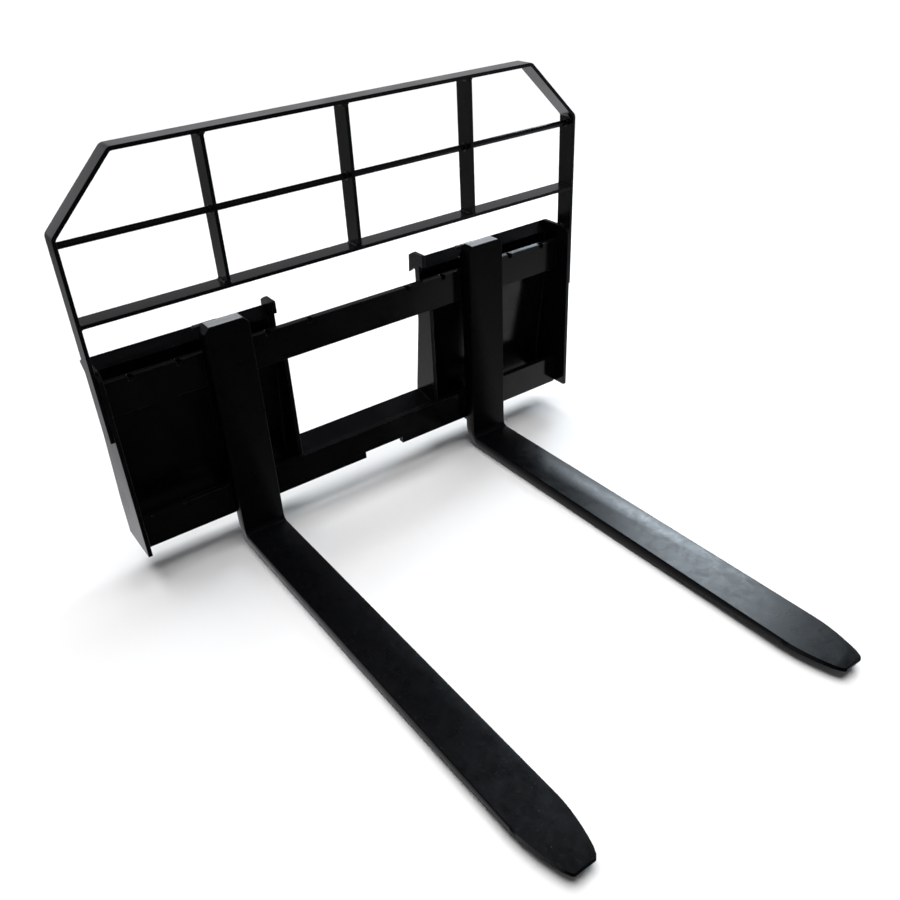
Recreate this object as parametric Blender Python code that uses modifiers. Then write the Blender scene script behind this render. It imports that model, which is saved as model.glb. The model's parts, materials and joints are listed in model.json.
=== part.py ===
"""Pallet fork attachment for a compact loader: a welded carriage with a load guard, and two sliding forks.

Frame: +X to the right seen from the load side, +Y back towards the machine, +Z up. The origin is on the
ground, midway between the posts and midway between the fork tips and the rearmost hook. Sizes and depths are
given from the guard's front face, and one empty carries the whole object to its origin. Metres throughout.
"""
import math

import bmesh
import bpy
from mathutils import Matrix, Vector

# ---- overall sizes
FRAME_WIDTH = 1.2192  # outside the guard's posts
GUARD_TOP = 0.9191  # ground to the top of the guard
FORK_LENGTH = 1.0705  # front face of the shank to the tip
WELD_GAP = 0.0003  # between pieces that touch or are welded
OVERCUT = 0.1  # how far a cutter passes beyond what it cuts

# ---- load guard
GUARD_STOCK = 0.0079  # flat bar thickness
GUARD_DEPTH = 0.046  # flat bar width, front to back
SHOULDER_DROP = 0.132  # where the posts bend inwards, below the guard's top
SHOULDER_HALF = 0.476  # half length of the top run, at its outer corners
BEND_RADIUS = 0.016
POST_LAP = 0.151  # how far the posts run down beside the outer plates
RAIL_RISE = 0.14  # top of the lower rail above the upper carriage bar
UPRIGHT_STOCK = 0.0077
UPRIGHT_PITCH = 0.3048
ROD_RADIUS = 0.0065
ROD_DROP = 0.1511  # rod's axis below the guard's top

# ---- carriage bars
BAR_BOTTOM = 0.0762  # underside of the lower bar
BAR_HEIGHT = 0.0762
BAR_STOCK = 0.0159
BAR_FRONT = 0.0349  # front face, behind the guard's front face
CARRIAGE_HEIGHT = 0.4064  # top of the upper bar above the bottom of the lower bar
NOTCH_PITCH = 0.1016
NOTCH_FIRST_LEFT = 0.1241  # first notch on each side, from the middle
NOTCH_FIRST_RIGHT = 0.1331
NOTCH_COUNT = 5  # on each side
NOTCH_RADIUS = 0.0055  # milled in from the front face, round at the back
NOTCH_DEPTH = 0.0098
SLOT_CENTRE = 0.0315
SLOT_HEIGHT = 0.0165  # removal slot in the lower bar's bottom edge
SLOT_CLEARANCE = 0.004  # each side of a fork

# ---- side plates and attach plates
PLATE_STOCK = 0.0095
PLATE_FRONT = -0.005
PLATE_RISE = 0.0389  # top of the outer plates above the upper carriage bar
PLATE_BOTTOM = 0.0811
PLATE_NECK = 0.0885  # depth of the back edge in the upper half
PLATE_FOOT = 0.114  # depth of the back edge at the bottom
BACK_BEND_UPPER = 0.1193  # bends in the back edge, below the top and above the bottom of the carriage bars
BACK_BEND_LOWER = 0.0938
FRONT_CORNER = 0.02
WINDOW_HALF = 0.1905  # from the middle to the inner side plates
BACK_CORNER = 0.006
HOOK_RISE = 0.0531  # top of the inner plates' hooks above the upper carriage bar
HOOK_CREST = 0.094  # depth at which the hook's top turns down
HOOK_SHOULDER = 0.0101  # below the hook's top
HOOK_TIP = 0.0541
HOOK_TAIL = 0.0012  # how far the hook reaches behind the plate's foot
HOOK_LEAN = 0.0036
HOOK_ROUND = 0.003
THROAT_TOP = 0.036  # where the coupler's edge seats, below the hook's top
ATTACH_STOCK = 0.0064
LIP_BEND = 0.0074  # above the upper carriage bar
LIP_REACH = 0.0215  # how far the top lip leans back
LIP_RISE = 0.0195
LEDGE_FRONT = 0.072  # bottom ledge that the coupler's wedge pins go down through
PIN_SLOT_WIDTH = 0.07
PIN_SLOT_DEPTH = 0.022
PIN_SLOT_CENTRE = 0.0905
SHELF_STOCK = 0.0064
SHELF_BACK = 0.109
SHELF_RISE = 0.0136

# ---- forks
FORK_WIDTH = 0.1005
SHANK_STOCK = 0.034
BLADE_STOCK = 0.0307
SHANK_RISE = 0.0624  # top of the shank above the upper carriage bar
SHANK_GAP = 0.0006  # between the shank and the bars
HEEL_INNER = 0.013
HEEL_OUTER = 0.055
TAPER_START = 0.45  # from the shank's front face, along the blade's underside
TIP_STOCK = 0.009
TIP_HALF = 0.0255
TIP_CURVE = 0.137  # length of the rounded stretch at the tip
PLAN_MARGIN = 0.0004  # keeps the plan cutter off the blade's sides before the curve
TIP_NOSE = 0.005  # chamfer at the blunt end
SHANK_CORNER = 0.012
SHANK_ROUND = 0.003  # front and back edges of the shank's top
EDGE_BEVEL = 0.0022
FORK_NOTCH = 2  # each fork is stored at this notch, counted from 0 nearest the middle

# ---- hooks and latch
HOOK_WIDTH = 0.075
HOOK_LIP = 0.0157  # lip thickness behind a bar
HOOK_RUN = 0.0005  # running clearance behind a bar
TOP_LIP_DROP = 0.018
TOP_HOOK_CROWN = 0.0224  # crown of the lip above the bar
BOTTOM_LIP_RISE = 0.0148
BOTTOM_HOOK_DEPTH = 0.02
LIP_ROUND = 0.003
CROWN_ROUND = 0.006
BOSS_RISE = 0.0389
BOSS_DEPTH = 0.0199
PLATE_RELIEF = 0.003  # room round a passing hook
PIN_RADIUS = 0.0045
PIN_CLEARANCE = 0.0004
PIN_LIFT = 0.0095  # travel of the latch pin
PIN_REST = 0.001  # raised pin above the bar
PIN_SETBACK = 0.008  # pin axis behind the bar's front face
PIN_RISE = 0.0554
PIN_BEND = 0.0065
HANDLE_REACH = 0.058
POCKET_HALF = 0.014
POCKET_FLOOR = 0.0114  # above the upper carriage bar
POCKET_HEIGHT = 0.02
COLLAR_RADIUS = 0.0079
COLLAR_HEIGHT = 0.0025
SPRING_RADIUS = 0.0062
SPRING_WIRE = 0.0009
SPRING_TURNS = 2.5
CAP_WIDTH = 0.075
CAP_DEPTH = 0.0275
CAP_STOCK = 0.0012

# ---- worked out
POST_INNER = FRAME_WIDTH / 2 - GUARD_STOCK
OUTER_FACE = POST_INNER - WELD_GAP  # outside of the outer side plates
OUTER_INNER = OUTER_FACE - PLATE_STOCK
BAR_BACK = BAR_FRONT + BAR_STOCK
BAR_TOP = BAR_BOTTOM + CARRIAGE_HEIGHT
PLATE_TOP = BAR_TOP + PLATE_RISE
PLATE_HOOK_TOP = BAR_TOP + HOOK_RISE
POST_BOTTOM = PLATE_TOP - POST_LAP
RAIL_TOP = BAR_TOP + RAIL_RISE
ROD_HEIGHT = GUARD_TOP - ROD_DROP
SHANK_TOP = BAR_TOP + SHANK_RISE
BOSS_TOP = BAR_TOP + BOSS_RISE
PIN_TOP = BAR_TOP + PIN_RISE
POCKET_BOTTOM = BAR_TOP + POCKET_FLOOR
POCKET_TOP = POCKET_BOTTOM + POCKET_HEIGHT
BAR_END = OUTER_INNER - WELD_GAP
INNER_OUTER = WINDOW_HALF + PLATE_STOCK
SHANK_BACK = BAR_FRONT - SHANK_GAP
SHANK_FRONT = SHANK_BACK - SHANK_STOCK
FORK_HALF = FORK_WIDTH / 2
HOOK_FRONT = SHANK_BACK + WELD_GAP
LIP_FRONT = BAR_BACK + HOOK_RUN
LIP_BACK = LIP_FRONT + HOOK_LIP
PIN_Y = BAR_FRONT + PIN_SETBACK
FORK_TIP = SHANK_FRONT - FORK_LENGTH
MIDDLE = (FORK_TIP + PLATE_FOOT + HOOK_TAIL) / 2  # of the whole depth

PLANES = {  # outline (u, v) and depth w to world axes
    "YZ": Matrix(((0, 0, 1), (1, 0, 0), (0, 1, 0))),
    "XZ": Matrix(((1, 0, 0), (0, 0, 1), (0, 1, 0))),
    "XY": Matrix.Identity(3),
}


# ---- scene and materials
def clear_scene():
    for obj in list(bpy.data.objects):
        bpy.data.objects.remove(obj, do_unlink=True)


def make_collection(name):
    group = bpy.data.collections.new(name)
    bpy.context.scene.collection.children.link(group)
    return group


def make_material(name, colour, roughness, metallic):
    mat = bpy.data.materials.new(name)
    mat.use_nodes = True
    shader = mat.node_tree.nodes["Principled BSDF"]
    shader.inputs["Base Color"].default_value = (*colour, 1)
    shader.inputs["Roughness"].default_value = roughness
    shader.inputs["Metallic"].default_value = metallic
    return mat


clear_scene()
PARTS = make_collection("pallet_fork_attachment")
CUTTERS = make_collection("cutters")
ORIGIN = bpy.data.objects.new("object_origin", None)
PARTS.objects.link(ORIGIN)
ORIGIN.location = (0, -MIDDLE, 0)
bpy.context.view_layer.update()
FRAME_PAINT = make_material("frame_paint", (0.012, 0.012, 0.014), 0.25, 0.0)
FORK_PAINT = make_material("fork_paint", (0.014, 0.015, 0.018), 0.3, 0.0)
ZINC = make_material("zinc_plate", (0.6, 0.61, 0.62), 0.35, 1.0)
SPRING_STEEL = make_material("spring_steel", (0.3, 0.3, 0.31), 0.35, 1.0)
CAP_FACE = make_material("blank_plate", (0.6, 0.62, 0.65), 0.4, 0.0)


# ---- shape helpers
def place(name, mesh, mat, parent=None):
    obj = bpy.data.objects.new(name, mesh)
    (PARTS if mat else CUTTERS).objects.link(obj)
    obj.parent = parent or ORIGIN
    if mat:
        mesh.materials.append(mat)
    else:
        obj.hide_render = True
        obj.display_type = "WIRE"
    return obj


def smooth(obj):
    obj.data.shade_smooth()
    obj.data.set_sharp_from_angle(angle=math.radians(32))
    return obj


def finish_mesh(name, bm):
    bmesh.ops.remove_doubles(bm, verts=bm.verts, dist=0.00001)
    bmesh.ops.recalc_face_normals(bm, faces=bm.faces)
    mesh = bpy.data.meshes.new(name)
    bm.to_mesh(mesh)
    bm.free()
    return mesh


def rounded(corners, steps=6):
    """Closed or open run of (u, v, radius) corners, with each radius drawn as an arc."""
    points = []
    count = len(corners)
    for i, (u, v, radius) in enumerate(corners):
        if radius == 0:
            points.append((u, v))
            continue
        before, after = corners[i - 1], corners[(i + 1) % count]
        angle_in = math.atan2(before[1] - v, before[0] - u)
        angle_out = math.atan2(after[1] - v, after[0] - u)
        half = ((angle_out - angle_in + math.pi) % (2 * math.pi) - math.pi) / 2
        reach = radius / abs(math.sin(half))
        middle = angle_in + half
        cu, cv = u + reach * math.cos(middle), v + reach * math.sin(middle)
        sweep = math.copysign(math.pi - 2 * abs(half), half)
        start = middle + math.pi + sweep / 2
        for k in range(steps + 1):
            a = start - sweep * k / steps
            points.append((cu + radius * math.cos(a), cv + radius * math.sin(a)))
    return points


def add_outline(bm, points, plane, start, end):
    near, far = [[bm.verts.new(PLANES[plane] @ Vector((u, v, w))) for u, v in points] for w in (start, end)]
    bm.faces.new(near)
    bm.faces.new(far[::-1])
    for i in range(len(points)):
        bm.faces.new((near[i - 1], far[i - 1], far[i], near[i]))


def outline_solid(name, points, plane, start, end, mat, parent=None):
    """A flat outline in a plane, given depth from start to end along the plane's normal."""
    bm = bmesh.new()
    add_outline(bm, points, plane, start, end)
    return place(name, finish_mesh(name, bm), mat, parent)


def block(name, low, high, mat, parent=None):
    bm = bmesh.new()
    bmesh.ops.create_cube(bm, size=1)
    size = [b - a for a, b in zip(low, high)]
    middle = [(a + b) / 2 for a, b in zip(low, high)]
    bm.transform(Matrix.Translation(middle) @ Matrix.Diagonal((*size, 1)))
    return place(name, finish_mesh(name, bm), mat, parent)


def cylinder(name, centre, axis, radius, length, mat, parent=None, sides=28):
    bm = bmesh.new()
    bmesh.ops.create_cone(bm, cap_ends=True, segments=sides, radius1=radius, radius2=radius, depth=length)
    turn = Matrix.Rotation(math.pi / 2, 4, "Y") if axis == "X" else Matrix.Identity(4)
    bm.transform(Matrix.Translation(centre) @ turn)
    return smooth(place(name, finish_mesh(name, bm), mat, parent))


def bent_strip(name, path, plane, start, end, stock, mat):
    """Flat stock bent along an open path: a folded surface with Solidify towards the path's left."""
    bm = bmesh.new()
    rows = [[bm.verts.new(PLANES[plane] @ Vector((u, v, w))) for u, v in path] for w in (start, end)]
    for i in range(len(path) - 1):
        bm.faces.new((rows[0][i], rows[0][i + 1], rows[1][i + 1], rows[1][i]))
    mesh = bpy.data.meshes.new(name)
    bm.to_mesh(mesh)
    bm.free()
    obj = place(name, mesh, mat)
    wall = obj.modifiers.new("stock", "SOLIDIFY")
    wall.thickness = stock
    wall.offset = -1
    wall.use_even_offset = True
    return obj


def boolean(obj, tool, operation="DIFFERENCE"):
    step = obj.modifiers.new(tool.name, "BOOLEAN")
    step.operation = operation
    step.solver = "EXACT"
    step.object = tool


# ---- load guard
def guard_hoop():
    half, shoulder = FRAME_WIDTH / 2, GUARD_TOP - SHOULDER_DROP
    corners = [(-half, POST_BOTTOM, 0), (-half, shoulder, BEND_RADIUS),
               (-SHOULDER_HALF, GUARD_TOP, BEND_RADIUS), (SHOULDER_HALF, GUARD_TOP, BEND_RADIUS),
               (half, shoulder, BEND_RADIUS), (half, POST_BOTTOM, 0)]
    bent_strip("guard_hoop", rounded(corners), "XZ", 0, GUARD_DEPTH, GUARD_STOCK, FRAME_PAINT)


def guard_bars():
    reach = POST_INNER - WELD_GAP
    block("lower_rail", (-reach, 0, RAIL_TOP - GUARD_STOCK), (reach, GUARD_DEPTH, RAIL_TOP), FRAME_PAINT)
    rod_y = GUARD_DEPTH / 2
    cylinder("cross_rod", (0, rod_y, ROD_HEIGHT), "X", ROD_RADIUS, 2 * reach, FRAME_PAINT)
    for label, step in (("left", -1), ("centre", 0), ("right", 1)):
        x = step * UPRIGHT_PITCH
        low, high = RAIL_TOP + WELD_GAP, GUARD_TOP - GUARD_STOCK - WELD_GAP
        upright = block(f"upright_{label}", (x - UPRIGHT_STOCK / 2, 0, low),
                        (x + UPRIGHT_STOCK / 2, GUARD_DEPTH, high), FRAME_PAINT)
        bore = cylinder(f"upright_{label}_bore", (x, rod_y, ROD_HEIGHT), "X", ROD_RADIUS + WELD_GAP,
                        3 * UPRIGHT_STOCK, None)
        boolean(upright, bore)


# ---- carriage
def notch_cutter(steps=10):
    """Every latch notch in the upper bar, as one tool: each is a slot from the front with a round end."""
    bm = bmesh.new()
    front = BAR_FRONT - OVERCUT
    for n in range(NOTCH_COUNT):
        for side, first in ((-1, NOTCH_FIRST_LEFT), (1, NOTCH_FIRST_RIGHT)):
            x = side * (first + n * NOTCH_PITCH)
            turns = [math.pi * k / steps for k in range(steps + 1)]
            arc = [(x + NOTCH_RADIUS * math.cos(a), PIN_Y + NOTCH_RADIUS * math.sin(a)) for a in turns]
            add_outline(bm, [(x - NOTCH_RADIUS, front), (x + NOTCH_RADIUS, front)] + arc, "XY",
                        BAR_TOP - NOTCH_DEPTH, BAR_TOP + OVERCUT)
    return place("latch_notches", finish_mesh("latch_notches", bm), None)


def carriage_bars():
    upper = block("upper_carriage_bar", (-BAR_END, BAR_FRONT, BAR_TOP - BAR_HEIGHT),
                  (BAR_END, BAR_BACK, BAR_TOP), FRAME_PAINT)
    boolean(upper, notch_cutter())
    slot_half = FORK_HALF + SLOT_CLEARANCE
    left, right, roof = SLOT_CENTRE - slot_half, SLOT_CENTRE + slot_half, BAR_BOTTOM + SLOT_HEIGHT
    outline = [(-BAR_END, BAR_BOTTOM), (left, BAR_BOTTOM), (left, roof), (right, roof), (right, BAR_BOTTOM),
               (BAR_END, BAR_BOTTOM), (BAR_END, BAR_BOTTOM + BAR_HEIGHT), (-BAR_END, BAR_BOTTOM + BAR_HEIGHT)]
    outline_solid("lower_carriage_bar", outline, "XZ", BAR_FRONT, BAR_BACK, FRAME_PAINT)


def back_edge():
    """The back edge that every side plate shares, from the foot up to the neck."""
    low_bend, high_bend = BAR_BOTTOM + BACK_BEND_LOWER, BAR_TOP - BACK_BEND_UPPER
    return [(PLATE_FOOT, PLATE_BOTTOM, 0), (PLATE_FOOT, low_bend, 0), (PLATE_NECK, high_bend, 0)]


def side_plates():
    relief = LIP_BACK + PLATE_RELIEF
    low_relief = BAR_BOTTOM + BOTTOM_LIP_RISE + PLATE_RELIEF
    lip_low = BAR_TOP - TOP_LIP_DROP - PLATE_RELIEF
    crown = BAR_TOP + TOP_HOOK_CROWN + PLATE_RELIEF
    hook_front = HOOK_FRONT + BOSS_DEPTH + WELD_GAP
    hook_back = PLATE_FOOT + HOOK_TAIL
    behind_bars = BAR_BACK + WELD_GAP
    lip_back, lip_tip = PLATE_NECK + LIP_REACH, BAR_TOP + LIP_BEND + LIP_RISE
    lip_angle = math.atan2(LIP_RISE, LIP_REACH)
    ear = (lip_back - ATTACH_STOCK * math.sin(lip_angle), lip_tip + ATTACH_STOCK * math.cos(lip_angle))
    outer = [(PLATE_FRONT, PLATE_BOTTOM, 0)] + back_edge() + [
        (PLATE_NECK, BAR_TOP + LIP_BEND, 0), (lip_back, lip_tip, 0), (*ear, 0),
        (PLATE_NECK, PLATE_TOP, BACK_CORNER), (PLATE_FRONT, PLATE_TOP, FRONT_CORNER)]
    under_upper, over_lower = BAR_TOP - BAR_HEIGHT - WELD_GAP, BAR_BOTTOM + BAR_HEIGHT + WELD_GAP
    inner = [(relief, PLATE_BOTTOM, 0)] + back_edge() + [
        (PLATE_NECK, PLATE_HOOK_TOP - THROAT_TOP, HOOK_ROUND), (hook_back, PLATE_HOOK_TOP - HOOK_TIP, 0),
        (hook_back - HOOK_LEAN, PLATE_HOOK_TOP - HOOK_SHOULDER, HOOK_ROUND),
        (HOOK_CREST, PLATE_HOOK_TOP, HOOK_ROUND), (hook_front, PLATE_HOOK_TOP, HOOK_ROUND),
        (hook_front, crown, 0), (relief, crown, 0), (relief, lip_low, 0), (behind_bars, lip_low, 0),
        (behind_bars, under_upper, 0), (BAR_FRONT, under_upper, 0), (BAR_FRONT, over_lower, 0),
        (behind_bars, over_lower, 0), (behind_bars, low_relief, 0), (relief, low_relief, 0)]
    for label, side in (("left", -1), ("right", 1)):
        faces = sorted((side * OUTER_FACE, side * OUTER_INNER))
        outline_solid(f"outer_plate_{label}", rounded(outer), "YZ", *faces, FRAME_PAINT)
        faces = sorted((side * WINDOW_HALF, side * INNER_OUTER))
        outline_solid(f"inner_plate_{label}", rounded(inner), "YZ", *faces, FRAME_PAINT)


def attach_plates():
    bend = BAR_TOP + LIP_BEND
    path = [(LEDGE_FRONT, PLATE_BOTTOM, 0)] + back_edge() + [
        (PLATE_NECK, bend, 0), (PLATE_NECK + LIP_REACH, bend + LIP_RISE, 0)]
    middle = (INNER_OUTER + OUTER_INNER) / 2
    for label, side in (("left", -1), ("right", 1)):
        faces = sorted((side * (INNER_OUTER + WELD_GAP), side * (OUTER_INNER - WELD_GAP)))
        plate = bent_strip(f"attach_plate_{label}", rounded(path), "YZ", *faces, ATTACH_STOCK, FRAME_PAINT)
        x = side * middle
        half, front = PIN_SLOT_WIDTH / 2, PIN_SLOT_CENTRE - PIN_SLOT_DEPTH / 2
        slot = block(f"pin_slot_{label}", (x - half, front, PLATE_BOTTOM - ATTACH_STOCK),
                     (x + half, front + PIN_SLOT_DEPTH, PLATE_BOTTOM + 2 * ATTACH_STOCK), None)
        boolean(plate, slot)


def shelf():
    front, top = BAR_BACK + WELD_GAP, BAR_BOTTOM + BAR_HEIGHT
    outline = [(front, top), (SHELF_BACK, top + SHELF_RISE),
               (SHELF_BACK, top + SHELF_RISE - SHELF_STOCK), (front, top - SHELF_STOCK)]
    reach = WINDOW_HALF - WELD_GAP
    outline_solid("window_shelf", outline, "YZ", -reach, reach, FRAME_PAINT)


# ---- forks, built about x = 0 and carried by an empty at the stored notch
def fork_blank(label, rail):
    side = [(SHANK_FRONT, SHANK_TOP, SHANK_ROUND), (SHANK_FRONT, BLADE_STOCK, HEEL_INNER),
            (FORK_TIP, BLADE_STOCK, 0), (FORK_TIP, BLADE_STOCK - TIP_STOCK, 0),
            (SHANK_FRONT - TAPER_START, 0, 0), (SHANK_BACK, 0, HEEL_OUTER),
            (SHANK_BACK, SHANK_TOP, SHANK_ROUND)]
    fork = outline_solid(f"fork_{label}", rounded(side, 10), "YZ", -FORK_HALF, FORK_HALF, FORK_PAINT, rail)
    edges = fork.modifiers.new("edges", "BEVEL")
    edges.width = EDGE_BEVEL
    edges.segments = 2
    boolean(fork, outline_solid(f"fork_{label}_plan", blade_plan(), "XY", -OVERCUT, SHANK_TOP + OVERCUT, None,
                                rail), "INTERSECT")
    boolean(fork, outline_solid(f"fork_{label}_front", shank_front(), "XZ", FORK_TIP - OVERCUT,
                                SHANK_BACK + OVERCUT, None, rail), "INTERSECT")
    smooth(fork)


def blade_plan(steps=8):
    """Half widths along a fork, mirrored: clear of the shank, drawn in along an arc to a blunt tip."""
    inset = FORK_HALF - TIP_HALF
    radius = (TIP_CURVE ** 2 + inset ** 2) / (2 * inset)
    start = FORK_TIP + TIP_CURVE
    side = []
    for k in range(1, steps):
        run = TIP_CURVE * k / steps
        side.append((FORK_HALF - (radius - math.sqrt(radius ** 2 - run ** 2)), start - run))
    side += [(TIP_HALF, FORK_TIP + TIP_NOSE), (TIP_HALF - 2 * TIP_NOSE, FORK_TIP - TIP_NOSE)]
    wide = FORK_HALF + OVERCUT
    right = [(wide, SHANK_BACK + OVERCUT), (wide, start + OVERCUT), (FORK_HALF + PLAN_MARGIN, start)] + side
    return right + [(-x, y) for x, y in reversed(right)]


def shank_front():
    """Front outline that takes the top corners off a shank, passing wide of it elsewhere."""
    wide = FORK_HALF + OVERCUT
    right = [(wide, -OVERCUT), (wide, SHANK_TOP - SHANK_CORNER - OVERCUT),
             (FORK_HALF - 2 * SHANK_CORNER, SHANK_TOP + SHANK_CORNER)]
    return right + [(-x, z) for x, z in reversed(right)]


def fork_hooks(label, rail):
    bar_top, low = BAR_TOP + WELD_GAP, BAR_TOP - TOP_LIP_DROP
    crown, boss_back = BAR_TOP + TOP_HOOK_CROWN, HOOK_FRONT + BOSS_DEPTH
    top = [(HOOK_FRONT, bar_top, 0), (LIP_FRONT, bar_top, 0), (LIP_FRONT, low, 0), (LIP_BACK, low, LIP_ROUND),
           (LIP_BACK, crown, CROWN_ROUND), (boss_back, crown, 0), (boss_back, BOSS_TOP, LIP_ROUND),
           (HOOK_FRONT, BOSS_TOP, 0)]
    half = HOOK_WIDTH / 2
    hook = outline_solid(f"top_hook_{label}", rounded(top, 4), "YZ", -half, half, FORK_PAINT, rail)
    boolean(hook, block(f"pocket_{label}", (-POCKET_HALF, HOOK_FRONT - OVERCUT, POCKET_BOTTOM),
                        (POCKET_HALF, LIP_BACK + OVERCUT, POCKET_TOP), None, rail))
    boolean(hook, cylinder(f"pin_bore_{label}", (0, PIN_Y, BOSS_TOP), "Z", PIN_RADIUS + PIN_CLEARANCE,
                           2 * OVERCUT, None, rail))
    base, roof = BAR_BOTTOM - WELD_GAP, BAR_BOTTOM + BOTTOM_LIP_RISE
    foot = BAR_BOTTOM - BOTTOM_HOOK_DEPTH
    bottom = [(HOOK_FRONT, foot, 0), (LIP_BACK, foot, CROWN_ROUND), (LIP_BACK, roof, LIP_ROUND),
              (LIP_FRONT, roof, 0), (LIP_FRONT, base, 0), (HOOK_FRONT, base, 0)]
    outline_solid(f"bottom_hook_{label}", rounded(bottom, 4), "YZ", -half, half, FORK_PAINT, rail)


def round_wire(name, points, radius, mat, parent, resolution=3):
    """A wire along world points, as a mesh with its ends closed."""
    curve = bpy.data.curves.new(name, "CURVE")
    curve.dimensions = "3D"
    curve.bevel_depth = radius
    curve.bevel_resolution = resolution
    curve.use_fill_caps = True
    spline = curve.splines.new("POLY")
    spline.points.add(len(points) - 1)
    for point, place_at in zip(spline.points, points):
        point.co = (*place_at, 1)
    wire = bpy.data.objects.new(name + "_path", curve)
    CUTTERS.objects.link(wire)
    mesh = bpy.data.meshes.new_from_object(wire.evaluated_get(bpy.context.evaluated_depsgraph_get()))
    bpy.data.objects.remove(wire)
    bm = bmesh.new()
    bm.from_mesh(mesh)
    bpy.data.meshes.remove(mesh)
    return smooth(place(name, finish_mesh(name, bm), mat, parent))


def latch(label, fork, pin):
    """Raised pin with its bent handle, collar and spring. Both forks are alike: both handles point left."""
    foot = BAR_TOP + PIN_REST
    path = [(0, 0, foot), (0, 0, PIN_TOP - PIN_BEND)]
    bend_steps, turn_steps = 6, 14
    for k in range(1, bend_steps + 1):
        a = math.pi / 2 * k / bend_steps
        path.append((-PIN_BEND * (1 - math.cos(a)), 0, PIN_TOP - PIN_BEND + PIN_BEND * math.sin(a)))
    path.append((-HANDLE_REACH, 0, PIN_TOP))
    round_wire(f"latch_pin_{label}", path, PIN_RADIUS, ZINC, pin)
    collar_low = POCKET_BOTTOM + WELD_GAP + PIN_LIFT
    collar = cylinder(f"latch_collar_{label}", (0, 0, collar_low + COLLAR_HEIGHT / 2), "Z", COLLAR_RADIUS,
                      COLLAR_HEIGHT, ZINC, pin)
    boolean(collar, cylinder(f"collar_bore_{label}", (0, 0, collar_low), "Z", PIN_RADIUS + WELD_GAP,
                             4 * COLLAR_HEIGHT, None, pin))
    low = collar_low + COLLAR_HEIGHT + SPRING_WIRE + WELD_GAP
    high = POCKET_TOP - SPRING_WIRE - WELD_GAP
    count = int(SPRING_TURNS * turn_steps)
    helix = []
    for k in range(count + 1):
        a = 2 * math.pi * SPRING_TURNS * k / count
        helix.append((SPRING_RADIUS * math.cos(a), PIN_Y + SPRING_RADIUS * math.sin(a),
                      low + (high - low) * k / count))
    round_wire(f"latch_spring_{label}", helix, SPRING_WIRE, SPRING_STEEL, fork, 2)


def top_cap(label, rail):
    middle = (SHANK_FRONT + SHANK_BACK) / 2
    base = SHANK_TOP + WELD_GAP
    block(f"shank_cap_{label}", (-CAP_WIDTH / 2, middle - CAP_DEPTH / 2, base),
          (CAP_WIDTH / 2, middle + CAP_DEPTH / 2, base + CAP_STOCK), CAP_FACE, rail)


def fork_set(label, side, first_notch):
    rail = bpy.data.objects.new(f"fork_slide_{label}", None)
    pin = bpy.data.objects.new(f"latch_slide_{label}", None)
    for empty in (rail, pin):
        PARTS.objects.link(empty)
    rail.parent = ORIGIN
    rail.location = (side * (first_notch + FORK_NOTCH * NOTCH_PITCH), 0, 0)
    pin.parent = rail
    pin.location = (0, PIN_Y, 0)
    bpy.context.view_layer.update()
    fork_blank(label, rail)
    fork_hooks(label, rail)
    latch(label, rail, pin)
    top_cap(label, rail)


guard_hoop()
guard_bars()
carriage_bars()
side_plates()
attach_plates()
shelf()
fork_set("left", -1, NOTCH_FIRST_LEFT)
fork_set("right", 1, NOTCH_FIRST_RIGHT)
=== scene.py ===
import bmesh
import bpy
import json
import math
import random
from mathutils import Matrix, Vector


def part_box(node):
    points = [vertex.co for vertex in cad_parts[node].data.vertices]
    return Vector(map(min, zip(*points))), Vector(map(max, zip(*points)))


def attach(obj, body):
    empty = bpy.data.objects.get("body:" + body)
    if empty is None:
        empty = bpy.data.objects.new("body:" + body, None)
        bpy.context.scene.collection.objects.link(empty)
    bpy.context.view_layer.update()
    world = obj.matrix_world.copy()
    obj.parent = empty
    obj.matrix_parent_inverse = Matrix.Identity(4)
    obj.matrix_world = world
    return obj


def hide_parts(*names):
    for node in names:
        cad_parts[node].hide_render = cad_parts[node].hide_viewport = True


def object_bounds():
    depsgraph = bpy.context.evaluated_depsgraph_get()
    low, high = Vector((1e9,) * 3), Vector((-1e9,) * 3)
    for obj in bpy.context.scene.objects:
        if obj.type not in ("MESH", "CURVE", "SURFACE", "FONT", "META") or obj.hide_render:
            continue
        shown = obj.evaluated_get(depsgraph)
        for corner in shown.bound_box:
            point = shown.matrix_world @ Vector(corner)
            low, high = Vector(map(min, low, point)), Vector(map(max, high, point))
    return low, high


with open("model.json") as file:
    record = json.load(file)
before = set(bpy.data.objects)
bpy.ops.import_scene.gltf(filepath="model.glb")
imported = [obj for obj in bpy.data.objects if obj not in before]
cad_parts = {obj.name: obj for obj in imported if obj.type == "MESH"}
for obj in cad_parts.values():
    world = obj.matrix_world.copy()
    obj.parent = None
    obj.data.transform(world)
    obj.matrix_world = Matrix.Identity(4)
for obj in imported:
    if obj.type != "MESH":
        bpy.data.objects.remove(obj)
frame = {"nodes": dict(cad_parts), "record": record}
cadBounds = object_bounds()
nodes = frame["nodes"]
bodyOf = {n: b for b, members in frame["record"]["behaviour"]["bodies"].items() for n in members}

# where the machine's pieces are, all read from the frame
hoopLow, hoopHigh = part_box("guard_hoop")
railLow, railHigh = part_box("lower_rail")
rodLow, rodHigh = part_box("cross_rod")
upperLow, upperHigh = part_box("upper_carriage_bar")
lowerLow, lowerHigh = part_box("lower_carriage_bar")
outerLow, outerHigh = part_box("outer_plate_right")
innerLow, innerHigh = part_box("inner_plate_right")
attachLow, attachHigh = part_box("attach_plate_right")
shelfLow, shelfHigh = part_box("window_shelf")
guardFront = hoopLow.y


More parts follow.
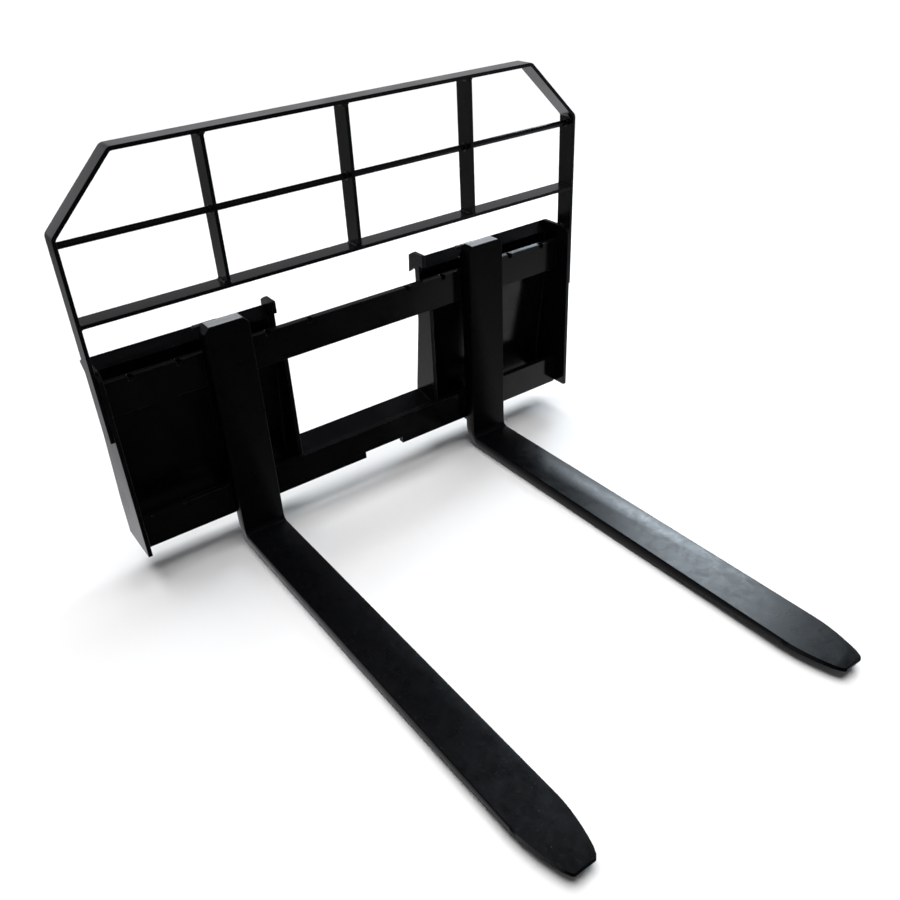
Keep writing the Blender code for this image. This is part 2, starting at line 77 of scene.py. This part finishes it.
# camera and light
cameraSettings = {
    "fromOrigin": (-0.9141, -1.6152 + guardFront, 1.2741),
    "turn": -32.651, "tilt": 33.325, "roll": -3.980,
    "lens": 35.75, "sensor": 36, "shift": (0.0292, 0.0162),
}


def placeCamera(s):
    turn, tilt, roll = (math.radians(s[k]) for k in ("turn", "tilt", "roll"))
    back = Vector((math.sin(turn) * math.cos(tilt), -math.cos(turn) * math.cos(tilt), math.sin(tilt)))
    side = (-back).cross(Vector((0, 0, 1))).normalized()
    up = side.cross(-back)
    sideRolled = math.cos(roll) * side + math.sin(roll) * up
    upRolled = -math.sin(roll) * side + math.cos(roll) * up
    data = bpy.data.cameras.new("studioCamera")
    data.lens, data.sensor_width = s["lens"], s["sensor"]
    data.shift_x, data.shift_y = s["shift"]
    camera = bpy.data.objects.new("studioCamera", data)
    facing = Matrix((sideRolled, upRolled, back)).transposed().to_4x4()
    camera.matrix_world = Matrix.Translation(s["fromOrigin"]) @ facing
    bpy.context.scene.collection.objects.link(camera)
    bpy.context.scene.camera = camera


placeCamera(cameraSettings)
bpy.context.scene.view_settings.view_transform = "Standard"


def hexToLinear(code):
    parts = [int(code[i:i + 2], 16) / 255 for i in (1, 3, 5)]
    return tuple(p / 12.92 if p <= 0.04045 else ((p + 0.055) / 1.055) ** 2.4 for p in parts) + (1.0,)


def addNode(tree, kind, settings=None, links=None):
    # one node, its fixed settings by socket or property name, and what feeds its sockets
    node = tree.nodes.new(kind)
    for key, value in (settings or {}).items():
        if isinstance(key, int) or key in node.inputs:
            node.inputs[key].default_value = value
        else:
            setattr(node, key, value)
    for key, source in (links or {}).items():
        tree.links.new(source, node.inputs[key])
    return node


def remap(tree, value, fromRange=(0.0, 1.0), toRange=(0.0, 1.0)):
    settings = {"From Min": fromRange[0], "From Max": fromRange[1]}
    settings.update({"To Min": toRange[0], "To Max": toRange[1]})
    return addNode(tree, "ShaderNodeMapRange", settings, {"Value": value}).outputs[0]


def blend(tree, factor, first, second):
    # each colour is either fixed or fed by another node
    settings, links = {"data_type": "RGBA"}, {0: factor}
    for socket, colour in ((6, first), (7, second)):
        (settings if isinstance(colour, tuple) else links)[socket] = colour
    return addNode(tree, "ShaderNodeMix", settings, links).outputs[2]


def multiply(tree, first, second):
    return addNode(tree, "ShaderNodeMath", {"operation": "MULTIPLY"}, {0: first, 1: second}).outputs[0]


lightSettings = {
    "overheadSky": {
        "kind": "SUN", "at": (0.2, 0.3, 4.0), "aim": (0.0, 0.0, 0.0), "spread": 50.0, "power": 3.3,
        "colour": (1.0, 1.0, 1.0),
    },
    "rearSoftbox": {
        "kind": "AREA", "at": (2.22, 1.30, 1.88), "aim": (0.34, -0.05, 0.03), "size": (0.85, 0.85),
        "power": 30, "colour": (0.80, 0.91, 1.0),
    },
}


def placeLights(s):
    for name, light in s.items():
        data = bpy.data.lights.new(name, light["kind"])
        if light["kind"] == "SUN":
            data.angle = math.radians(light["spread"])
        else:
            data.shape = "RECTANGLE"
            data.size, data.size_y = light["size"]
        data.energy = light["power"]
        data.color = light["colour"]
        lamp = bpy.data.objects.new(name, data)
        lamp.location = light["at"]
        # the sky softens shadows without a hot spot in the paint
        lamp.visible_glossy = light["kind"] == "AREA"
        toAim = Vector(light["aim"]) - Vector(light["at"])
        lamp.rotation_euler = toAim.to_track_quat("-Z", "Y").to_euler()
        bpy.context.scene.collection.objects.link(lamp)


# what the gloss sees: brightness against height, 0 straight down and 1 straight up, in three directions
roomLook = {
    "front": [(0.0, 0.01), (0.30, 0.01), (0.47, 0.02), (0.55, 0.07), (0.75, 0.10), (1.0, 0.04)],
    "right": [
        (0.0, 0.01), (0.10, 0.30), (0.20, 0.80), (0.27, 0.50), (0.33, 0.20), (0.47, 0.12), (0.55, 0.12),
        (0.75, 0.12), (1.0, 0.04),
    ],
    "behind": [
        (0.0, 0.30), (0.17, 0.90), (0.25, 0.46), (0.36, 0.10), (0.50, 0.20), (0.57, 0.62), (0.65, 0.38),
        (0.73, 0.03), (1.0, 0.03),
    ],
    "turnRight": (0.49, 0.56), "turnBehind": (-0.1, 0.35), "blueCast": 1.03, "backdrop": "#fbfcfc",
}


def paintRoom(s):
    # the camera itself sees an even pale backdrop
    world = bpy.data.worlds.new("studioRoom")
    bpy.context.scene.world = world
    world.use_nodes = True
    tree = world.node_tree
    tree.nodes.clear()
    coords = addNode(tree, "ShaderNodeTexCoord")
    split = addNode(tree, "ShaderNodeSeparateXYZ", links={0: coords.outputs["Generated"]})
    height = remap(tree, split.outputs["Z"], (-1.0, 1.0))
    levels = {}
    for side in ("front", "right", "behind"):
        ramp = addNode(tree, "ShaderNodeValToRGB", links={"Fac": height})
        band = ramp.color_ramp
        while len(band.elements) < len(s[side]):
            band.elements.new(0.5)
        for element, (at, level) in zip(band.elements, s[side]):
            element.position = at
            element.color = (level, level, level * s["blueCast"], 1)
        levels[side] = ramp.outputs["Color"]
    rightward = remap(tree, split.outputs["X"], s["turnRight"])
    backward = remap(tree, split.outputs["Y"], s["turnBehind"])
    around = blend(tree, backward, blend(tree, rightward, levels["front"], levels["right"]), levels["behind"])
    room = addNode(tree, "ShaderNodeBackground", {"Strength": 1.0}, {"Color": around})
    pale = addNode(tree, "ShaderNodeBackground", {"Color": hexToLinear(s["backdrop"]), "Strength": 1.0})
    path = addNode(tree, "ShaderNodeLightPath")
    choice = {0: path.outputs["Is Camera Ray"], 1: room.outputs[0], 2: pale.outputs[0]}
    pick = addNode(tree, "ShaderNodeMixShader", links=choice)
    addNode(tree, "ShaderNodeOutputWorld", links={0: pick.outputs[0]})


def newMaterial(name, s):
    # where a network drives the roughness, the plain value is only what a simple viewer falls back on
    material = bpy.data.materials.new(name)
    material.use_nodes = True
    shader = material.node_tree.nodes["Principled BSDF"]
    shader.inputs["Metallic"].default_value = s["metallic"]
    shader.inputs["Roughness"].default_value = s["roughness"]
    if "ior" in s:
        shader.inputs["IOR"].default_value = s["ior"]
    return material, material.node_tree, shader


floorLook = {"colour": "#f7f7f7", "metallic": 0.0, "roughness": 0.9, "shine": 0.1}
floorSize = {"half": 60, "squares": 8, "below": 0.0005}


def matteBackdropPaper(name, s):
    # seamless paper roll: flat, pale, no sheen
    material, tree, shader = newMaterial(name, s)
    shader.inputs["Base Color"].default_value = hexToLinear(s["colour"])
    shader.inputs["Specular IOR Level"].default_value = s["shine"]
    return material


def layFloor(s, paper):
    mesh = bpy.data.meshes.new("studioFloor")
    shape = bmesh.new()
    bmesh.ops.create_grid(shape, x_segments=s["squares"], y_segments=s["squares"], size=s["half"])
    shape.to_mesh(mesh)
    shape.free()
    floor = bpy.data.objects.new("studioFloor", mesh)
    floor.location = (0, 0, cadBounds[0].z - s["below"])
    bpy.context.scene.collection.objects.link(floor)
    mesh.materials.append(paper)
    floor.visible_glossy = False


placeLights(lightSettings)
paintRoom(roomLook)
layFloor(floorSize, matteBackdropPaper("matteBackdropPaper", floorLook))
print("studio built")


# materials
def perMetre(millimetres):
    # a noise scale for features this far apart
    return 1000.0 / millimetres


def objectPlace(tree):
    return addNode(tree, "ShaderNodeTexCoord").outputs["Object"]


def noise(tree, place, spacing, detail, roughness=0.5, distortion=0.0):
    settings = {"Scale": perMetre(spacing), "Detail": detail}
    settings.update({"Roughness": roughness, "Distortion": distortion})
    return addNode(tree, "ShaderNodeTexNoise", settings, {"Vector": place}).outputs["Fac"]


def streaks(tree, place, scales, detail, roughness=0.5):
    # noise with its own scale along each axis
    drawn = addNode(tree, "ShaderNodeMapping", {"Scale": scales}, {"Vector": place})
    settings = {"Scale": 1.0, "Detail": detail, "Roughness": roughness}
    return addNode(tree, "ShaderNodeTexNoise", settings, {"Vector": drawn.outputs[0]}).outputs["Fac"]


def facingUp(tree, leanRange, most=1.0):
    face = addNode(tree, "ShaderNodeNewGeometry")
    lean = addNode(tree, "ShaderNodeSeparateXYZ", links={0: face.outputs["Normal"]})
    return remap(tree, lean.outputs["Z"], leanRange, (0.0, most))


def roughen(tree, shader, height, strength, depth):
    bump = addNode(tree, "ShaderNodeBump", {"Strength": strength, "Distance": depth}, {"Height": height})
    tree.links.new(bump.outputs[0], shader.inputs["Normal"])


powderCoatLook = {
    "metallic": 0.0, "roughness": 0.24, "ior": 1.5,
    "colour": "#060607", "faded": "#0b0c0e", "cloud": 90.0,
    "dust": "#2a2a2b", "speck": 5.0, "dustSpots": (0.5, 0.72), "dustLean": (0.5, 1.0), "dustMost": 0.22,
    "primer": "#3b3a39", "edgeChips": 0.0, "chip": 14.0, "chipSpots": (0.60, 0.66),
    "smooth": 0.12, "rough": 0.24, "glossClouds": (0.3, 0.7),
    "orangePeel": 2.2, "orangePeelDepth": 0.00003, "orangePeelStrength": 0.35,
}


def powderCoatedSteel(name, s):
    # gloss polyester powder, sprayed and baked: deep black, a soft orange peel in the shine, a little dust
    material, tree, shader = newMaterial(name, s)
    place = objectPlace(tree)
    cloud = noise(tree, place, s["cloud"], detail=4.0, roughness=0.6)
    speck = noise(tree, place, s["speck"], detail=5.0, roughness=0.7)
    tone = blend(tree, cloud, hexToLinear(s["colour"]), hexToLinear(s["faded"]))
    upward = facingUp(tree, s["dustLean"], s["dustMost"])
    dust = multiply(tree, upward, remap(tree, speck, s["dustSpots"]))
    tone = blend(tree, dust, tone, hexToLinear(s["dust"]))
    if s["edgeChips"]:
        # thin spots on the bare corners, where powder draws back and the grey primer shows
        chips = noise(tree, place, s["chip"], detail=6.0, roughness=0.75)
        worn = remap(tree, chips, s["chipSpots"], (0.0, s["edgeChips"]))
        tone = blend(tree, worn, tone, hexToLinear(s["primer"]))
    tree.links.new(tone, shader.inputs["Base Color"])
    gloss = remap(tree, cloud, s["glossClouds"], (s["smooth"], s["rough"]))
    tree.links.new(gloss, shader.inputs["Roughness"])
    peel = noise(tree, place, s["orangePeel"], detail=2.0, roughness=0.4)
    roughen(tree, shader, peel, s["orangePeelStrength"], s["orangePeelDepth"])
    return material


forkPaintLook = {
    "metallic": 0.0, "roughness": 0.3, "ior": 1.5,
    "colour": "#050507", "scale": "#08090b", "millScale": 26.0, "topLean": (0.7, 0.98),
    "scuff": "#14171c", "scuffGap": 1.6, "scuffLength": 60.0, "scuffDrop": 9.6, "scuffSpots": (0.60, 0.78),
    "scuffMost": 0.55, "scuffRoughness": 0.18,
    "dust": "#3e424a", "speck": 3.2, "speckSpots": (0.70, 0.76), "speckMost": 0.8,
    "smooth": 0.27, "rough": 0.37, "glossClouds": (0.35, 0.68), "mattShine": 0.12, "rubbedShine": 0.62,
    "pits": 4.5, "pitDepth": 0.00009, "pitStrength": 0.4,
}


def enamelledForging(name, s):
    # alkyd enamel over a hot forged bar: blue-black, the mill scale shows through, long scuffs and pale
    # specks on top, and more shine where loads have rubbed the upward faces
    material, tree, shader = newMaterial(name, s)
    place = objectPlace(tree)
    scale = noise(tree, place, s["millScale"], detail=6.0, roughness=0.62, distortion=0.6)
    tone = blend(tree, scale, hexToLinear(s["colour"]), hexToLinear(s["scale"]))
    scales = tuple(perMetre(s[k]) for k in ("scuffGap", "scuffLength", "scuffDrop"))
    scratches = streaks(tree, place, scales, detail=3.0, roughness=0.6)
    upward = facingUp(tree, s["topLean"])
    scuffed = multiply(tree, upward, remap(tree, scratches, s["scuffSpots"], (0.0, s["scuffMost"])))
    tone = blend(tree, scuffed, tone, hexToLinear(s["scuff"]))
    specks = noise(tree, place, s["speck"], detail=2.0)
    speckled = multiply(tree, upward, remap(tree, specks, s["speckSpots"], (0.0, s["speckMost"])))
    tone = blend(tree, speckled, tone, hexToLinear(s["dust"]))
    tree.links.new(tone, shader.inputs["Base Color"])
    gloss = remap(tree, scale, s["glossClouds"], (s["smooth"], s["rough"]))
    shine = remap(tree, upward, toRange=(s["mattShine"], s["rubbedShine"]))
    tree.links.new(shine, shader.inputs["Specular IOR Level"])
    addScuffs = {"operation": "MULTIPLY_ADD", 1: s["scuffRoughness"]}
    rubbed = addNode(tree, "ShaderNodeMath", addScuffs, {0: scuffed, 2: gloss})
    tree.links.new(rubbed.outputs[0], shader.inputs["Roughness"])
    pits = noise(tree, place, s["pits"], detail=4.0, roughness=0.55)
    roughen(tree, shader, pits, s["pitStrength"], s["pitDepth"])
    return material


weldCoatLook = {
    "metallic": 0.0, "roughness": 0.22, "ior": 1.5, "colour": "#070708", "faded": "#101113",
    "smooth": 0.14, "rough": 0.34, "glossClouds": (0.3, 0.7),
    "ripple": 1.4, "rippleDepth": 0.00010, "rippleStrength": 0.5,
}


def coatedWeldBead(name, s):
    # the same powder over a wire-fed weld: it pools in the ripples, so the shine breaks up between them
    material, tree, shader = newMaterial(name, s)
    ripple = noise(tree, objectPlace(tree), s["ripple"], detail=3.0)
    tone = blend(tree, ripple, hexToLinear(s["colour"]), hexToLinear(s["faded"]))
    tree.links.new(tone, shader.inputs["Base Color"])
    gloss = remap(tree, ripple, s["glossClouds"], (s["smooth"], s["rough"]))
    tree.links.new(gloss, shader.inputs["Roughness"])
    roughen(tree, shader, ripple, s["rippleStrength"], s["rippleDepth"])
    return material


zincLook = {
    "metallic": 1.0, "roughness": 0.28, "colour": "#c9ccd0", "passivated": "#b4b39a", "spangle": 6.0,
    "smooth": 0.2, "rough": 0.42, "glossClouds": (0.3, 0.7),
    "alongScale": 60.0, "drawLines": 0.35, "drawDepth": 0.00002, "drawStrength": 0.2,
}


def zincPlatedSteel(name, s):
    # bright electroplate on drawn bar: silvery, a faint yellow passivation, fine lines along the bar
    material, tree, shader = newMaterial(name, s)
    place = objectPlace(tree)
    cloud = noise(tree, place, s["spangle"], detail=4.0)
    tone = blend(tree, cloud, hexToLinear(s["colour"]), hexToLinear(s["passivated"]))
    tree.links.new(tone, shader.inputs["Base Color"])
    gloss = remap(tree, cloud, s["glossClouds"], (s["smooth"], s["rough"]))
    tree.links.new(gloss, shader.inputs["Roughness"])
    scales = (s["alongScale"], perMetre(s["drawLines"]), perMetre(s["drawLines"]))
    drawn = streaks(tree, place, scales, detail=2.0)
    roughen(tree, shader, drawn, s["drawStrength"], s["drawDepth"])
    return material


springLook = {
    "metallic": 1.0, "roughness": 0.32, "colour": "#6d6f74", "oil": "#2e2c29", "patch": 3.0,
    "smooth": 0.22, "rough": 0.5,
}


def oiledSpringWire(name, s):
    # patented spring wire, coiled cold and dipped in oil: grey steel, brown-black where the oil stays
    material, tree, shader = newMaterial(name, s)
    oil = noise(tree, objectPlace(tree), s["patch"], detail=4.0)
    tone = blend(tree, oil, hexToLinear(s["colour"]), hexToLinear(s["oil"]))
    tree.links.new(tone, shader.inputs["Base Color"])
    gloss = remap(tree, oil, toRange=(s["smooth"], s["rough"]))
    tree.links.new(gloss, shader.inputs["Roughness"])
    return material


labelLook = {
    "metallic": 0.0, "roughness": 0.4, "ior": 1.5, "colour": "#f2f3f4", "shade": "#e2e4e6", "grain": 0.5,
    "smooth": 0.3, "rough": 0.5, "wrinkle": 18.0, "wrinkleDepth": 0.0002, "wrinkleStrength": 0.3,
}


def blankFoilLabel(name, s):
    # aluminium foil label with a white ground and no print: satin, a fine rolled grain, a few soft lifts
    material, tree, shader = newMaterial(name, s)
    place = objectPlace(tree)
    grain = noise(tree, place, s["grain"], detail=2.0)
    lift = noise(tree, place, s["wrinkle"], detail=3.0)
    tone = blend(tree, grain, hexToLinear(s["colour"]), hexToLinear(s["shade"]))
    tree.links.new(tone, shader.inputs["Base Color"])
    gloss = remap(tree, grain, toRange=(s["smooth"], s["rough"]))
    tree.links.new(gloss, shader.inputs["Roughness"])
    roughen(tree, shader, lift, s["wrinkleStrength"], s["wrinkleDepth"])
    return material


paintEdgeLook = {**powderCoatLook, "edgeChips": 0.5, "smooth": 0.2, "rough": 0.36}
# the forks' eased edges take a lighter copy of the enamel, the same on every edge: a painted edge highlight
forkEdgeHighlightLook = {**forkPaintLook, "colour": "#121318", "scale": "#26282d"}
paint = powderCoatedSteel("blackPowderCoatedSteel", powderCoatLook)
paintEdge = powderCoatedSteel("blackPowderCoatedEdges", paintEdgeLook)
forkPaint = enamelledForging("blackEnamelOverForgedSteel", forkPaintLook)
# lighter enamel for the hooks' eased edges: painted edge highlight
forkEdgeHighlight = enamelledForging("enamelEdgesPaintedHighlight", forkEdgeHighlightLook)
weldPaint = coatedWeldBead("powderCoatedWeldBead", weldCoatLook)
zinc = zincPlatedSteel("zincPlatedDrawnBar", zincLook)
wire = oiledSpringWire("oiledSpringWire", springLook)
label = blankFoilLabel("blankFoilLabel", labelLook)
print("materials made:", len(bpy.data.materials))


# steel shapes: each one is the frame's own solid with its cut or rolled edges eased
# distances in metres, angles in degrees; a corner sharper than its limit is eased, or only shaded sharp
# where the piece has no radius
easing = {
    "mergeWithin": 0.00002, "flatWithin": 0.6, "steps": 3, "capSteps": 2,
    "corner": 30, "bladeCorner": 32, "roundCorner": 60,
}


def easedSteel(node, name, radius, face, edge, steps=easing["steps"], corner=easing["corner"]):
    shape = bmesh.new()
    shape.from_mesh(nodes[node].data)
    bmesh.ops.remove_doubles(shape, verts=shape.verts, dist=easing["mergeWithin"])
    flat = math.radians(easing["flatWithin"])
    bmesh.ops.dissolve_limit(shape, angle_limit=flat, verts=shape.verts, edges=shape.edges)
    for part in shape.faces:
        part.smooth = True
        part.material_index = 0
    mesh = bpy.data.meshes.new(name)
    shape.to_mesh(mesh)
    shape.free()
    mesh.materials.append(face)
    mesh.materials.append(edge)
    piece = bpy.data.objects.new(name, mesh)
    bpy.context.scene.collection.objects.link(piece)
    if radius:
        ease = piece.modifiers.new("easedEdges", "BEVEL")
        ease.width = radius
        ease.segments = steps
        ease.limit_method = "ANGLE"
        ease.angle_limit = math.radians(corner)
        ease.material = 1
        even = piece.modifiers.new("evenShading", "WEIGHTED_NORMAL")
        even.keep_sharp = True
    else:
        mesh.set_sharp_from_angle(angle=math.radians(corner))
    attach(piece, bodyOf[node])
    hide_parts(node)


# rolled flat bar has its mill radius, saw and plasma cut plate a smaller hand-ground one
edgeRadius = {
    "guard_hoop": 0.0011, "lower_rail": 0.0011,
    "upright_left": 0.0011, "upright_centre": 0.0011, "upright_right": 0.0011,
    "cross_rod": 0.0006, "upper_carriage_bar": 0.0010, "lower_carriage_bar": 0.0010,
    "outer_plate_left": 0.0008, "outer_plate_right": 0.0008,
    "inner_plate_left": 0.0008, "inner_plate_right": 0.0008,
    "attach_plate_left": 0.0007, "attach_plate_right": 0.0007, "window_shelf": 0.0007,
}
forkRadius = {"hook": 0.0009, "pin": 0.0006, "collar": 0.0004, "cap": 0.0004, "none": 0}
bladeCorner, roundCorner = easing["bladeCorner"], easing["roundCorner"]
for node, radius in edgeRadius.items():
    easedSteel(node, node + "_coated", radius, paint, paintEdge)
for end in ("left", "right"):
    fork = f"fork_{end}"
    forged = f"{fork}_forged"
    easedSteel(fork, forged, forkRadius["none"], forkPaint, forkEdgeHighlight, corner=bladeCorner)
    for hook in (f"top_hook_{end}", f"bottom_hook_{end}"):
        easedSteel(hook, f"{hook}_cut", forkRadius["hook"], forkPaint, forkEdgeHighlight)
    pin, collar, spring = (f"latch_{n}_{end}" for n in ("pin", "collar", "spring"))
    cap = f"shank_cap_{end}"
    easedSteel(pin, f"{pin}_plated", forkRadius["pin"], zinc, zinc, corner=roundCorner)
    easedSteel(collar, f"{collar}_plated", forkRadius["collar"], zinc, zinc, corner=roundCorner)
    easedSteel(spring, f"{spring}_wire", forkRadius["none"], wire, wire, corner=roundCorner)
    easedSteel(cap, f"{cap}_label", forkRadius["cap"], label, label, steps=easing["capSteps"])
print("steel pieces eased")


# weld beads, as real metal: a lumpy run of overlapping ripples with tapered ends
weldShop = {
    "ripple": 0.0034, "ringsPerRipple": 4, "fewestRings": 4, "sides": 8, "seed": 11,
    "ripplePart": 0.13, "rippleMiddle": 0.6, "wander": 0.06, "wanderRate": 0.37, "wanderStart": 9,
    "lean": 0.35, "tip": 0.0002,
}
skew = Vector((0.31, 0.52, 0.79))  # a direction that no weld runs along
beads = {}


def weldRun(body, points, leg):
    # points: a polyline in metres; leg: how far the bead stands off the corner it fills
    beads.setdefault(body, []).append(([Vector(p) for p in points], leg))


def alongRun(points, step, fewest):
    # evenly spaced places on a polyline, with the direction at each
    spans = [(b - a).length for a, b in zip(points, points[1:])]
    total = sum(spans)
    count = max(fewest, round(total / step))
    places = []
    for k in range(count + 1):
        want = total * k / count
        for (a, b), span in zip(zip(points, points[1:]), spans):
            if want <= span + 1e-9:  # room for rounding at the last place
                places.append((a.lerp(b, min(1, want / span)), (b - a).normalized()))
                break
            want -= span
    return places, total


def addRing(shape, centre, direction, radius, sides):
    across = direction.cross(skew).normalized()
    over = direction.cross(across)
    ring = []
    for i in range(sides):
        angle = 2 * math.pi * i / sides
        spot = centre + across * math.cos(angle) * radius + over * math.sin(angle) * radius
        ring.append(shape.verts.new(spot))
    return ring


def buildBeads(body, runs, s):
    chance = random.Random(s["seed"])
    shape = bmesh.new()
    for points, leg in runs:
        places, total = alongRun(points, s["ripple"] / s["ringsPerRipple"], s["fewestRings"])
        last = len(places) - 1
        rings = []
        start = chance.random()
        for k, (centre, direction) in enumerate(places):
            phase = (k / s["ringsPerRipple"] + start) % 1
            swell = 1 + s["ripplePart"] * (math.sqrt(max(0, 1 - (2 * phase - 1) ** 2)) - s["rippleMiddle"])
            swell *= 1 + s["wander"] * math.sin(k * s["wanderRate"] + start * s["wanderStart"])
            toEnd = min(k, last - k) * total / last
            if toEnd < leg:
                swell *= math.sqrt(min(1, (toEnd + s["tip"]) / leg))
            radius = leg * swell
            lean = direction * (s["lean"] * radius * (phase - 0.5))
            rings.append(addRing(shape, centre + lean, direction, radius, s["sides"]))
        for a, b in zip(rings, rings[1:]):
            for i in range(s["sides"]):
                shape.faces.new((a[i - 1], a[i], b[i], b[i - 1]))
        shape.faces.new(rings[0])
        shape.faces.new(rings[-1][::-1])
    bmesh.ops.recalc_face_normals(shape, faces=shape.faces)
    for part in shape.faces:
        part.smooth = True
    mesh = bpy.data.meshes.new(f"weld_beads_{body}")
    shape.to_mesh(mesh)
    shape.free()
    mesh.materials.append(weldPaint)
    piece = bpy.data.objects.new(f"weld_beads_{body}", mesh)
    bpy.context.scene.collection.objects.link(piece)
    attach(piece, body)


# each weld's stand-off in metres, from the plate it joins, then how far its runs keep from an edge;
# a name that ends in Part is a share of the stand-off
guardWeld = {
    "upright": 0.0060, "railPart": 0.8, "railEnd": 0.0032, "rod": 0.0026, "edge": 0.001, "rodSteps": 24,
}


def weldGuard(s):
    edge = s["edge"]
    front, back = hoopLow.y + edge, hoopHigh.y - edge
    roof = hoopHigh.z - (railHigh.z - railLow.z)  # underside of the hoop's top, which is as thick as the rail
    for which in ("left", "centre", "right"):
        low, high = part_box(f"upright_{which}")
        for x in (low.x, high.x):
            weldRun("carriage", [(x, front, roof), (x, back, roof)], s["upright"])
            weldRun("carriage", [(x, front, railHigh.z), (x, back, railHigh.z)], s["upright"] * s["railPart"])
            weldRodRound(x, s)
        for y in (hoopLow.y, hoopHigh.y):
            weldRun("carriage", [(low.x - edge, y, roof), (high.x + edge, y, roof)], s["rod"])
    for x in (railLow.x, railHigh.x):
        for z in (railLow.z, railHigh.z):
            weldRun("carriage", [(x, front, z), (x, back, z)], s["railEnd"])
        weldRodRound(x, s)


def weldRodRound(x, s):
    middleY, middleZ = (rodLow.y + rodHigh.y) / 2, (rodLow.z + rodHigh.z) / 2
    radius = (rodHigh.z - rodLow.z) / 2
    turn = [2 * math.pi * k / s["rodSteps"] for k in range(s["rodSteps"] + 1)]
    points = [(x, middleY + radius * math.cos(a), middleZ + radius * math.sin(a)) for a in turn]
    weldRun("carriage", points, s["rod"])


# hookLip and hookClear keep beads off the paths of the forks' hooks; attachInside is the attach plate's inner
# face as depth behind the guard and height
carriageWeld = {
    "post": 0.0030, "footPart": 0.9, "postFoot": 0.004, "postTop": 0.006,
    "topInset": 0.014, "topSink": 0.0005,
    "plate": 0.0032, "underPart": 0.8, "frontPass": 0.0015, "start": 0.003, "stop": 0.002,
    "hookLip": 0.018, "hookClear": 0.008, "aboveLowerBar": 0.008, "belowUpperBar": 0.002,
    "shelf": 0.0026, "shelfStock": 0.0064, "shelfInset": 0.01, "shelfLow": 0.004, "shelfHigh": 0.003,
    "attachInside": ((0.1074, 0.0878), (0.1074, 0.1695), (0.0820, 0.3626), (0.0820, 0.4930)),
}


def weldCarriage(s):
    foot, top = hoopLow.z, outerHigh.z
    start, stop = s["start"], s["stop"]
    for side in (-1, 1):
        # post to outer plate, behind the post, under its foot and along the plate's top
        x = side * outerHigh.x
        behind, before = hoopHigh.y, hoopLow.y
        weldRun("carriage", [(x, behind, foot + s["postFoot"]), (x, behind, top - s["postTop"])], s["post"])
        weldRun("carriage", [(x, before + start, foot), (x, behind - stop, foot)], s["post"] * s["footPart"])
        x = side * (outerHigh.x - s["topSink"])
        weldRun("carriage", [(x, before + s["topInset"], top), (x, behind - s["topInset"], top)], s["post"])
        # carriage bars to outer plates: a thin pass in front, one behind and one below
        x = side * outerLow.x
        for low, high in ((upperLow, upperHigh), (lowerLow, lowerHigh)):
            weldRun("carriage", [(x, low.y, low.z + start), (x, low.y, high.z - start)], s["frontPass"])
            weldRun("carriage", [(x, high.y, low.z + start), (x, high.y, high.z - start)], s["plate"])
            ends = [(x, low.y + start, low.z), (x, high.y - stop, low.z)]
            weldRun("carriage", ends, s["plate"] * s["underPart"])
        # inner plates to the backs of the bars, clear of the hooks' paths
        for x in (side * innerLow.x, side * innerHigh.x):
            y = upperHigh.y
            low, high = upperLow.z + s["belowUpperBar"], upperHigh.z - s["hookLip"] - s["hookClear"]
            weldRun("carriage", [(x, y, low), (x, y, high)], s["plate"])
            y = lowerHigh.y
            low, high = lowerLow.z + s["hookLip"] + s["hookClear"], lowerHigh.z - s["aboveLowerBar"]
            weldRun("carriage", [(x, y, low), (x, y, high)], s["plate"])
        # attach plates to both side plates, inside the box
        for x in (side * attachLow.x, side * attachHigh.x):
            weldRun("carriage", [(x, guardFront + depth, z) for depth, z in s["attachInside"]], s["plate"])
    # shelf to the lower bar and to both inner plates
    reach, y, z = shelfHigh.x, lowerHigh.y, lowerHigh.z
    low, high = s["shelfInset"] - reach, reach - s["shelfInset"]
    weldRun("carriage", [(low, y, z - s["shelfStock"]), (high, y, z - s["shelfStock"])], s["shelf"])
    for x in (-reach, reach):
        ends = [(x, shelfLow.y + s["shelfLow"], z), (x, shelfHigh.y - s["shelfHigh"], shelfHigh.z)]
        weldRun("carriage", ends, s["shelf"])


forkWeld = {
    "hook": 0.0034, "lowerPart": 0.8, "aboveBar": 0.004, "belowBar": 0.003, "end": 0.001, "footSink": 0.0008,
}


def weldForks(s):
    for end in ("left", "right"):
        body = f"{end}_fork"
        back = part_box(f"fork_{end}")[1].y
        # top hook's boss to the shank: up both sides and over the top
        low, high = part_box(f"top_hook_{end}")
        for x in (low.x, high.x):
            weldRun(body, [(x, back, upperHigh.z + s["aboveBar"]), (x, back, high.z - s["end"])], s["hook"])
        weldRun(body, [(low.x, back, high.z), (high.x, back, high.z)], s["hook"])
        # bottom hook to the shank: down both sides and under its foot
        low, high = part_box(f"bottom_hook_{end}")
        for x in (low.x, high.x):
            ends = [(x, back, low.z + s["end"]), (x, back, lowerLow.z - s["belowBar"])]
            weldRun(body, ends, s["hook"] * s["lowerPart"])
        sunk = back - s["footSink"]
        weldRun(body, [(low.x, sunk, low.z), (high.x, sunk, low.z)], s["hook"])


weldGuard(guardWeld)
weldCarriage(carriageWeld)
weldForks(forkWeld)
for body, runs in beads.items():
    buildBeads(body, runs, weldShop)
print("weld runs laid:", sum(len(r) for r in beads.values()))
